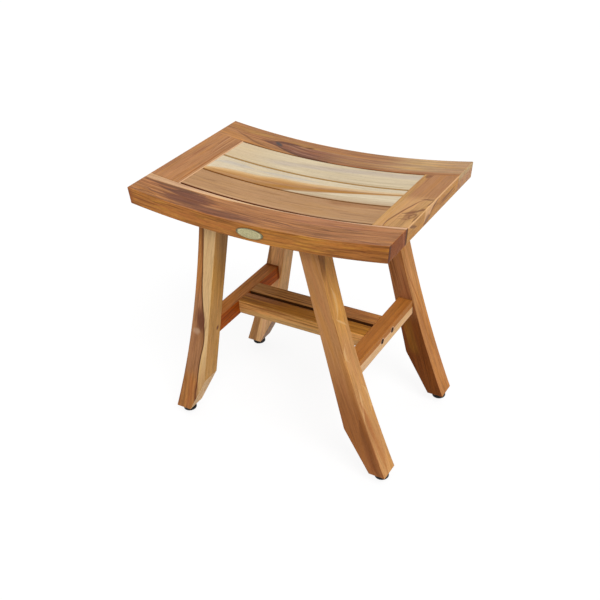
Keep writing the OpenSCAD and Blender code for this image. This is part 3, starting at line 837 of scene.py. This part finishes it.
def wood_leg_front_left():
    n = Wood("leg_front_left", leg_axes(-1), "#dbb47f", seed=8, contrast=0.38, ring=4.5,
             pith=(-200, 40, 0), wave=4)
    n.draw("#a98a5c", 0.35, "1.6 150,-112 300,-96 418,-82", "1.4 60,-150 190,-113",
           "1.3 230,-112 330,-99", along=n.z, across=n.x)
    n.over("#c4965e", n.fall(n.z, 70, 170) * 0.8, 0.45)
    # Painted shade: the inner face is darker than the wood for the shade under the seat, and darker still
    # high up at the back.
    inner = n.side(1, 0, -0.26)
    n.over("#c08e4c", inner, 0.5)
    shade = inner * n.rise(n.z + n.ragged(30, 90, 12), 250, 330) * n.rise(n.y, -131, -121)
    n.over("#946d3a", shade * 0.65, 0.5)
    n.stain("#5e2412", inner * n.fall(n.hypot((n.z - 197) / 1.5, n.y + 110), 1.4, 4.6) * 0.9)
    edge = n.curve(n.z, "12,-168 51,-164.4 76,-157.8 113,-148.8 149,-138.2 173,-129.9 195,-125 "
                        "227,-121.5 249,-120 272,-118 303,-114 329,-109.5 359,-104.3 418,-95")
    off = n.x - edge + n.ragged(0.7, 50, 9) + (n.y + 137.5) * 0.55
    n.over("#a96f3a", n.fall(off, -1.2, 0.8), 1.0)
    n.over("#9b6d4c", n.fall(off, -3, -1) * n.within(n.z, 120, 262, 40) * 0.7, 0.8)
    n.stain("#6e4025", n.fall(abs(off + 2.4), 0.6, 3.4) * n.rise(n.cloud, 0.25, 0.6) * 0.6)
    n.stain("#45200e", n.fall(abs(off + 0.9), 0.4, 2.0) * (1 - n.rise(n.z, 300, 400) * 0.5) * 0.9)
    n.stain("#6d3d28", n.fall(n.hypot((n.z - 226) / 2.6, off + 7) + n.ragged(6, 40, 3), 4, 13) * 0.85)
    n.stain("#c8a282", n.fall(n.hypot((n.z - 200) / 0.9, off + 17) + n.ragged(3, 14, 6), 3, 11) * 0.65)
    n.draw("#7d3f1e", 0.6, "5 14,-170 40,-166 64,-161 90,-156", "3 12,-209 41,-201 75,-189", along=n.z,
           across=n.x)
    n.draw("#b5683a", 0.35, "8 12,-188 24,-186 55,-175 100,-168", along=n.z, across=n.x)
    # Painted light: the downward cut face from knee to sole is painted pale against its shade.
    n.over("#e6bb84", n.side(0.62, 0, -0.78, 0.75, 0.95) * 0.9, 0.5)
    return n.finish(tint=0.4, end=0.15, shine=0.1)


def wood_leg_front_right():
    n = Wood("leg_front_right", leg_axes(1), "#bd8653", seed=9, contrast=0.42, ring=4.8,
             pith=(160, -60, 0.03), wave=6, streaks=0.9, knots=[(150, 22, 30, 8, 0.5)])
    n.over("#985d30", n.fall(n.z, 110, 270) * 0.9, 0.5)
    n.draw("#74401c", 0.55, "13 8,207 21,199 38,192 58,186 82,178 120,168", along=n.z, across=n.x)
    out = n.side(0.97, 0, 0.25, 0.4, 0.8)
    n.over("#c8904c", out, 0.6)
    n.over("#c38f5b", out * n.fall(n.z + n.ragged(20, 40, 12), 240, 300) * 0.8, 0.6)
    # Painted shadow: a dark wedge at the top of the outer face, under the seat's rail.
    shadow_wedge = n.rise(n.z, 350, 385) * n.fall(n.y + n.ragged(1.5) - (n.z - 370) * 0.32, -131, -127)
    n.over("#8b5c2c", out * shadow_wedge * 0.85, 0.6)
    n.draw("#dfb37b", 0.8, "5 298,-127 318,-119 345,-122", "4 222,-127 234,-132 250,-124",
           "3.6 276,-108 286,-118 296,-129", "3.6 118,-136 140,-128 168,-124",
           "3.4 120,-112 142,-104 170,-112", where=out, along=n.z, across=n.y)
    n.draw("#a9632f", 0.5, "9 14,-126 40,-122 90,-124 150,-130", where=out, along=n.z, across=n.y)
    n.stain("#f0bd7c", out * n.blob(322, -5, 30, 9, 0.35) * 0.5)
    n.draw("#7c421f", 0.6, "2 225,-136.8 262,-136.6 300,-136.8", "2.2 40,-136.8 120,-136.8 230,-136.8",
           where=out, along=n.z, across=n.y)
    return n.finish(tint=0.6, shine=0.08)


def wood_leg_back_left():
    # This leg's pale tan is painted brighter than the wood, standing in for fill light in the seat's shade.
    n = Wood("leg_back_left", leg_axes(-1), "#e3ac74", seed=10, contrast=0.55, ring=3.2, pith=(0, -90, 0),
             wave=3, streaks=1.1)
    n.draw("#a8774c", 0.45, "1.3 100,-140 240,-118 400,-83", "1.3 150,-124 260,-108",
           "1.2 220,-127 300,-112", along=n.z, across=n.x)
    # Painted light: the lower leg brighter still.
    n.over("#fac892", n.fall(n.z, 120, 165) * 0.8, 0.6)
    edge = n.curve(n.z, "12,-194 43,-185.5 76,-174.6 140,-158 209,-140.6 239,-136.5 330,-117 418,-100")
    front = n.fall(n.y, 101.5, 103)
    n.over("#b98552", n.fall(n.x - edge + n.ragged(0.8, 50, 9), -0.8, 0.8) * front, 0.9)
    inner = n.side(1, 0, -0.26, 0.4, 0.8)
    n.over("#cf9c60", inner, 0.7)
    n.stain("#4f2f14", inner * n.within(n.z + n.ragged(3, 20, 8), 384, 400, 4) * n.rise(n.y, 124, 131) * 0.85)
    n.stain("#5f4122", n.rise(n.z, 226, 238) * n.within(n.x, -96, -90, 2) * n.within(n.y, 98, 108, 3) * 0.7)
    n.over("#8a5a30", n.side(0.62, 0, -0.78, 0.75, 0.95) * 0.85, 0.8)
    return n.finish(tint=0.5, end=0.15)


def wood_leg_back_right():
    n = Wood("leg_back_right", leg_axes(1), "#a26b42", seed=11, contrast=0.75, ring=4.6,
             pith=(180, 60, 0), wave=5, streaks=0.9)
    low = n.fall(n.z, 150, 205)
    n.over("#6e3911", low * 0.9, 0.9)
    n.over("#8b5a22", low * n.within(n.z, 105, 160, 20) * n.within(n.u, -25, -12, 4) * 0.7, 0.7)
    n.draw("#5c3214", 0.5, "2.2 225,126 300,106 372,88", "1.6 225,118 290,103", along=n.z, across=n.x)
    out = n.side(0.97, 0, 0.25, 0.4, 0.8)
    n.over("#bc844f", out, 0.8)
    n.over("#ad7140", out * low * 0.6, 0.6)
    n.draw("#96502c", 0.6, "2.4 160,121 190,119 230,111 262,104", "1.6 262,112 330,110 380,113",
           where=out, along=n.z, across=n.y)
    return n.finish(tint=0.6, shine=0.05)


def wood_stretcher_left():
    n = Wood("stretcher_left", level_cross, "#bb7132", seed=12, contrast=0.8, ring=4.2, pith=(330, 0, 0),
             wave=4)
    n.over("#a04b0c", n.side(1, 0, 0) * 0.9, 1.0)
    # The top is lighter towards the back: partly its own golden tone, partly painted light lifting the seat's
    # shade.
    n.over("#b77b42", n.side(0, 0, 1) * n.rise(n.y, -120, -20) * 0.8, 0.8)
    n.draw("#6a3315", 0.6, "1.8 -98,197 -20,199", "1.6 -98,187 -40,190", "1.8 50,197 98,194",
           "1.6 56,188 98,186", where=n.side(1, 0, 0), across=n.z)
    n.stain("#4e2308", n.within(n.y + n.ragged(2.4, 8, 8), 95, 101, 3) * 0.5)
    n.stain("#6a2c0a", n.side(0, 0, 1) * n.rise(n.y, 60, 92) * 0.25)
    return n.finish(shine=0.05)


def wood_stretcher_right():
    n = Wood("stretcher_right", level_cross, "#ac6d30", seed=13, contrast=0.6, ring=4.4,
             pith=(330, 60, 0.02), wave=4, streaks=0.55)
    split = n.curve(n.y, "-101,193 -22,191.3 50,190.7 101,189.5")
    low = split + 2.6 + (n.x - 151) * 0.8 - n.z + n.ragged(0.35)
    n.over("#deb486", n.rise(low, -1.2, 0.9), 0.6)
    hole = n.hypot(abs(n.y) - SHELF_Y, n.z - SHELF_Z)
    # Round each screw hole: a pale ring of painted highlight, and a dark disc of painted shade, with some
    # dirt, in the recess.
    n.stain("#e0b894", n.within(hole, 5.2, 6.2, 0.8) * n.rise(n.x, 120, 130) * 0.6)
    n.stain("#3e2722", n.fall(hole, 4.5, 5.3) * 0.92)
    n.stain("#5a3216", n.within(n.y, 98.5, 101, 0.8) * 0.5)
    return n.finish(tint=0.5, shine=0.1)


def wood_shelf_front():
    n = Wood("shelf_front", level_long, "#a66e27", seed=14, ring=4.0, pith=(150, 60, 0.03), wave=5,
             streaks=1.4)
    n.over("#8d5b3c", n.within(n.y + n.ragged(2), -15, -2, 3) * n.fall(n.x, -70, -20) * 0.7, 0.7)
    n.draw("#cf9a4f", 0.5, "2.4 -110,-31.5 -20,-31 100,-31.8")
    face = n.rise(-n.y, 32.0, 33.6)
    n.over("#cf9858", face, 0.9)
    n.draw("#823f1b", 0.6, "3 -124,203 -60,203 -10,203.5", where=face, across=n.z)
    n.over("#cda067", face * n.fall(n.z + n.ragged(1.2, 70, 12), 189, 194) * 0.95, 0.5)
    n.draw("#8b5a2c", 0.45, "1.3 -20,196 100,197", "1.3 -60,188 40,187", "1.3 0,201 80,200", where=face,
           across=n.z)
    # Painted shade, with some dirt, on the back face in the gap between the shelf slats.
    n.grime_and_shade("#45200a", n.side(0, 1, 0, 0.6, 0.9) * 0.9)
    return n.finish(tint=0.6, shine=0.06)


def wood_shelf_back():
    n = Wood("shelf_back", level_long, "#ad7a42", seed=15, ring=3.6, pith=(-150, 60, 0.02), wave=5,
             streaks=1.3)
    n.over("#a9713b", n.rise(n.x, 10, 60), 0.8)
    n.draw("#5d3a1d", 0.5, "1.8 -118,12 -40,11 100,12", "1.5 -110,24 -20,26", "1.6 -118,31.5 100,32")
    # Painted shade, with some dirt, on the front face in the gap between the shelf slats.
    n.grime_and_shade("#45200a", n.side(0, -1, 0, 0.6, 0.9) * 0.9)
    return n.finish(tint=0.6, shine=0.08)


def wood_bearer(side):
    n = Wood(f"bearer_{side}", bearer_axes, "#a87448", seed=16, contrast=0.8, ring=4.2,
             pith=(150, 330, 0), wave=4)
    return n.finish()


def screw_hole(sink):
    """Profile of a screw's stepped hole, with the head sunk by that much."""
    return [
        (0, -sink - PAST), (HEAD_R, -sink - PAST), (HEAD_R, 0), (SHANK_R, HEAD_H), (SHANK_R, SCREW_HOLE),
        (0, SCREW_HOLE),
    ]


def build_legs():
    woods = {
        "front_left": wood_leg_front_left, "front_right": wood_leg_front_right,
        "back_left": wood_leg_back_left, "back_right": wood_leg_back_right,
    }
    hole = [
        (0, SOLE_Z - PAST), (INSERT_R, SOLE_Z - PAST), (INSERT_R, INSERT_TOP), (STUD_ROOM_R, INSERT_TOP),
        (STUD_ROOM_R, STUD_ROOM_TOP), (0, STUD_ROOM_TOP),
    ]
    for corner, (sx, sy) in CORNERS.items():
        y = sorted((sy * LEG_BACK_Y, sy * (LEG_BACK_Y + LEG_DEPTH)))
        obj = thing(f"leg_{corner}_post", slab(leg_side(sx), *y, 1.1, 1.1))
        drill(obj, hole, [at(sx * FOOT_X, sy * FOOT_Y, 0)])
        place(obj, f"leg_{corner}", "bench", "teak_gold", woods[corner]())


def build_cross_pieces():
    """The stretchers and the bearers, which run from front to back."""
    for sx, name, slot, wood in (
        (-1, "left", "teak_red", wood_stretcher_left), (1, "right", "teak_gold", wood_stretcher_right),
    ):
        x = sx * STRETCHER_X
        box = box_side(x - STRETCHER_T / 2, x + STRETCHER_T / 2, STRETCHER_TOP - STRETCHER_H, STRETCHER_TOP)
        obj = thing(f"stretcher_{name}_bar", slab(box, -LEG_BACK_Y, LEG_BACK_Y, 0.3, 1.2))
        head_x = x + sx * (STRETCHER_T / 2 - HEAD_SINK)
        spots = [at(head_x, y, SHELF_Z, (-sx, 0, 0)) for y in (-SHELF_Y, SHELF_Y)]
        drill(obj, screw_hole(HEAD_SINK), spots)
        place(obj, f"stretcher_{name}", "bench", slot, wood())

        x = sx * BEARER_X
        low, high = x - BEARER_W / 2, x + BEARER_W / 2
        z = arc_z(BEARER_X, BOARD_T) - BEARER_H
        top = line(lambda v: (v, arc_z(v, BOARD_T)), high, low, 8)
        box = outline([(low, z), (high, z)], [(high, z), top[0]], top, [top[-1], (low, z)])
        obj = thing(f"bearer_{name}_bar", slab(box, -LEG_BACK_Y, LEG_BACK_Y, 0.3, 1.1))
        spots = [
            at(x, slat + SLAT_W / 2 + dy, z + BEARER_HEAD_SINK)
            for slat in SLAT_LOWS for dy in (-BEARER_SCREW_SPREAD, BEARER_SCREW_SPREAD)
        ]
        drill(obj, screw_hole(BEARER_HEAD_SINK), spots)
        place(obj, f"bearer_{name}", "bench", "teak_brown", wood_bearer(name))


def build_shelf():
    x = STRETCHER_X - STRETCHER_T / 2
    box = box_side(-x, x, STRETCHER_TOP - SHELF_T, STRETCHER_TOP)
    for y, name, wood in ((-SHELF_Y, "front", wood_shelf_front), (SHELF_Y, "back", wood_shelf_back)):
        obj = thing(f"shelf_slat_{name}_board", slab(box, y - SHELF_W / 2, y + SHELF_W / 2, 1.0, 0.3))
        place(obj, f"shelf_slat_{name}", "bench", "teak_brown", wood())


# ---- Fasteners, feet and badge ----

SCRATCH = 0.3  # width of the fine scratches on metal


def metal(name, code, rough, bump, darkening):
    """Metal with fine scratches, uneven polish and some tarnish."""
    n = Net(name)
    fine = n.noise(n.x / SCRATCH, n.y / SCRATCH, n.z / (SCRATCH * 6), 3)
    broad = n.noise(n.x / 4, n.y / 4, n.z / 4, 3)
    n.set(Base_Color=n.mix(linear(code), linear(code, 0.45), n.rise(broad, 0.45, 0.75) * darkening))
    n.set(Roughness=rough + (fine - 0.5) * 0.3 + (broad - 0.5) * 0.2, Metallic=1.0)
    n.bump(fine, bump)
    return n.material


def dowel_wood():
    n = Net("beech_dowel")
    fibre = n.noise(n.x / 0.6, n.y / 0.6, n.z / 0.6, 3)
    n.set(Base_Color=n.ramp(fibre, tones("#d2b48c", 0.6)), Roughness=0.55 + fibre * 0.2)
    n.bump(fibre, 0.05)
    return n.material


def pad_material():
    """Moulded black nylon with a fine grain and patches of dust."""
    n = Net("nylon_black")
    grain = n.noise(n.x / 0.35, n.y / 0.35, n.z / 0.35, 2)
    dust = n.rise(n.noise(n.x / 5, n.y / 5, n.z / 5, 3), 0.45, 0.8)
    n.set(Base_Color=n.mix(linear("#050505"), linear("#24221f"), dust * 0.2 + grain * 0.06))
    n.set(Specular_IOR_Level=0.25, Roughness=0.42 + grain * 0.25 + dust * 0.15)
    n.bump(grain, 0.03)
    return n.material


def rounded(points, radius, steps=3):
    """(radius, height) points with their inner corners rounded."""
    found = [points[0]]
    for before, here, after in zip(points, points[1:], points[2:]):
        h = Vector(here)
        a, b = Vector(before) - h, Vector(after) - h
        cut = min(radius, a.length * 0.45, b.length * 0.45)
        p, q = h + a.normalized() * cut, h + b.normalized() * cut
        for k in range(steps + 1):
            t = k / steps
            spot = p * (1 - t) ** 2 + h * (2 * t * (1 - t)) + q * t * t
            found.append((spot.x, spot.y))
    return found + [points[-1]]


def build_pad():
    """Foot pad: eased rim, moulding line, neck, and the socket for the stud's rim."""
    rim, neck, socket, top = 12, 8.5, 4.05, 8.6
    outside = rounded([
        (0.01, 0.35), (rim - 2.4, 0.35), (rim - 1.8, 0), (rim - 0.8, 0), (rim, 0.9), (rim, 3.9),
        (rim - 0.2, 4.1), (rim - 0.2, 4.3), (rim, 4.5), (rim, 5.8), (rim - 1.2, 7.0), (neck, 7.2),
        (neck, top), (socket, top),
    ], 0.45)
    inside = [(socket, 4.3), (socket + 1, 4.2), (socket + 1, 2.3), (0.01, 2.3)]
    return lathe(bmesh.new(), outside + inside, steps=64)


def build_stud():
    """Stud: rim and spigot, hexagon with chamfered corners, and a real 1 mm thread."""
    bm = lathe(bmesh.new(), [(0, 2.4), (5, 2.4), (5, 4.0), (4, 4.0), (4, 8.95), (0, 8.95)])
    flat = 5.6 * math.cos(math.pi / 6)
    rows = []
    for z, chamfered in ((8.9, True), (9.3, False), (11.1, False), (11.5, True)):
        row = []
        for angle, c, s in circle(48):
            edge = flat / math.cos((angle + math.pi / 6) % (math.pi / 3) - math.pi / 6)
            r = max(flat * 0.96, edge * 0.93) if chamfered else edge
            row.append((r * c, r * s, z))
        rows.append(row)
    skin(bm, rows)
    low, high, core, depth, tip = 11.4, 32.2, 2.48, 0.48, 2.0
    around, per_turn = 32, 8
    rows = []
    for z in line(lambda z: z, low, high, 1 / per_turn):
        row = []
        for k, (_, c, s) in enumerate(circle(around)):
            crest = 1 - abs(2 * ((z - k / around) % 1) - 1)
            r = core + depth * min(1, max(0, crest * 1.25 - 0.12))
            r = min(r, tip + high - z)
            row.append((r * c, r * s, z))
        rows.append(row)
    return skin(bm, rows)


def build_feet():
    nylon = pad_material()
    zinc = metal("zinc_plate", "#c9ccd0", 0.32, 0.015, 0.25)
    for corner, (sx, sy) in CORNERS.items():
        for maker, part, slot, material, angle in (
            (build_pad, "pad", "pad_nylon", nylon, 50), (build_stud, "stud", "stud_zinc", zinc, 28),
        ):
            obj = thing(f"foot_{part}_{corner}_turned", maker())
            obj.data.transform(at(sx * FOOT_X, sy * FOOT_Y, 0))
            place(obj, f"foot_{part}_{corner}", f"{part}_{corner}", slot, material, angle)


BADGE_HALF = (24, 8.25)
BADGE_Z = ARC_Z - (ARC_R + BOARD_T / 2)
PIN_X = 20.6


def badge_material():
    """Aged pale metal: dark patina in the groove and low spots, worn bright where raised, and painted shade
    darkening the rim's outer edge.
    """
    n = Net("badge_metal")
    away = n.hypot(n.x / BADGE_HALF[0], (n.z - BADGE_Z) / BADGE_HALF[1])
    proud = -n.y + FRONT_FACE
    fine = n.noise(n.x / 0.8, n.z / 0.8, 3, 2)
    broad = n.noise(n.x / 3.2, n.z / 2.2, 7, 3)
    pin = n.fall(n.hypot(abs(n.x) - PIN_X, n.z - BADGE_Z), 1.1, 1.9)
    patina = n.rise(broad, 0.35, 0.75) * 0.5 + n.rise(fine, 0.5, 0.8) * 0.2
    colour = n.mix(linear("#c9c092"), linear("#857b56"), patina)
    for code, mask in (
        ("#d8cfa2", n.within(away, 0.76, 0.86, 0.04) * 0.8),
        # Painted shade: the rim's outer edge is darkened as a dark line round the plate.
        ("#4a4430", n.rise(away, 0.9, 0.96) * 0.7),
        ("#35301f", pin * n.fall(proud, 1.2, 1.36) * 0.9),
        ("#3b3526", n.fall(proud, 0.5, 1.15)),
    ):
        colour = n.mix(colour, linear(code), mask)
    n.set(Base_Color=colour, Metallic=0.35, Roughness=0.42 + fine * 0.2 + broad * 0.1)
    n.bump(fine * 0.5 + broad, 0.12)
    return n.material


def build_badge():
    """Bare oval plate: rounded rim, dark groove, stippled field and two pin heads."""
    half_w, half_h = BADGE_HALF
    rings = [  # inset from the oval, and height above the rail
        (0.0, 0.0), (0.0, 0.9), (0.25, 1.25), (0.6, 1.4), (0.95, 1.38), (1.15, 1.15), (1.25, 0.8),
        (1.65, 0.8), (1.8, 1.0), (2.1, 1.08), (4.0, 1.1), (5.5, 1.12), (7.5, 1.14),
    ]
    bm = skin(bmesh.new(), [
        [
            ((half_w - inset) * c, FRONT_FACE - height, BADGE_Z + max(half_h - inset, 0.4) * s)
            for _, c, s in circle(96)
        ]
        for inset, height in rings
    ])
    pin = [(0, 0.2), (1.05, 0.2), (1.05, 1.15), (0.8, 1.32), (0.4, 1.39), (0, 1.4)]
    for x in (-PIN_X, PIN_X):
        lathe(bm, pin, at(x, FRONT_FACE, BADGE_Z, (0, -1, 0)), 20)
    place(thing("badge_plate_oval", bm), "badge_plate", "bench", "badge_metal", badge_material())


def dress_cad_nodes():
    """Materials for the solids that are shown as they are."""
    beech = dowel_wood()
    # The screw steel is dark: partly tarnish, partly painted shade of the recesses the heads sit in.
    steel = metal("screw_steel", "#4a4541", 0.5, 0.02, 0.6)
    brass = metal("insert_brass", "#c8a050", 0.35, 0.015, 0.35)
    dressed = {f"{name}_dowels": beech for name in ("rail", "slat", "leg", "bearer", "stretcher")}
    dressed.update(bearer_screws=steel, shelf_screws=steel, foot_inserts=brass)
    for node, material in dressed.items():
        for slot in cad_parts[node].material_slots:
            slot.material = material


# ---- Floor, light and camera ----

FLOOR_DROP = 8.3  # the floor lies just under the pads when they are screwed right out


def build_stage():
    mesh = bpy.data.meshes.new("floor")
    reach = 30  # metres
    mesh.from_pydata([(-reach, -reach, 0), (reach, -reach, 0), (reach, reach, 0), (-reach, reach, 0)],
                     [], [(0, 1, 2, 3)])
    floor = bpy.data.objects.new("floor", mesh)
    bpy.context.scene.collection.objects.link(floor)
    floor.location.z = -FLOOR_DROP * MM
    material = bpy.data.materials.new("floor_white")
    tree = Tree(material, "Material")
    matte = tree.node("BsdfDiffuse", {"Color": grey(0.6)})
    faint = tree.node("BsdfDiffuse", {"Color": grey(0.16)})
    glow = tree.node("Emission", {"Strength": 0.87})
    tree.show(tree.node("AddShader", {0: faint, 1: glow}), matte)
    mesh.materials.append(material)


def build_light():
    world = bpy.data.worlds.new("studio")
    bpy.context.scene.world = world
    tree = Tree(world, "World")
    soft = tree.node("Background", {"Color": grey(1), "Strength": 0.6})
    white = tree.node("Background", {"Color": grey(1), "Strength": 1})
    tree.show(white, soft)

    lamp = bpy.data.lights.new("key", "SUN")
    lamp.energy, lamp.angle = 1.67, math.radians(30)
    key = bpy.data.objects.new("key", lamp)
    bpy.context.scene.collection.objects.link(key)
    key.rotation_euler = Vector((0.5, -0.35, 0.7)).to_track_quat("Z", "Y").to_euler()


def build_camera():
    azimuth, elevation, roll = math.radians(32.589), math.radians(32.451), math.radians(-3.725)
    target, distance = Vector((-22.354, 8.68, 210.623)), 1551.21
    level = math.cos(elevation)
    back = Vector((math.sin(azimuth) * level, -math.cos(azimuth) * level, math.sin(elevation)))
    right = Vector((0, 0, 1)).cross(back).normalized()
    up = back.cross(right)
    c, s = math.cos(roll), math.sin(roll)
    turn = Matrix((c * right + s * up, c * up - s * right, back)).transposed()
    lens = bpy.data.cameras.new("camera")
    lens.sensor_width, lens.lens = 36, 53.26
    lens.clip_start, lens.clip_end = 0.05, 100
    camera = bpy.data.objects.new("camera", lens)
    camera.matrix_world = Matrix.Translation((target + back * distance) * MM) @ turn.to_4x4()
    bpy.context.scene.collection.objects.link(camera)
    bpy.context.scene.camera = camera


build_camera()
build_seat()
build_legs()
build_cross_pieces()
build_shelf()
build_feet()
build_badge()
dress_cad_nodes()
build_stage()
build_light()
bpy.context.scene.view_settings.view_transform = "Standard"
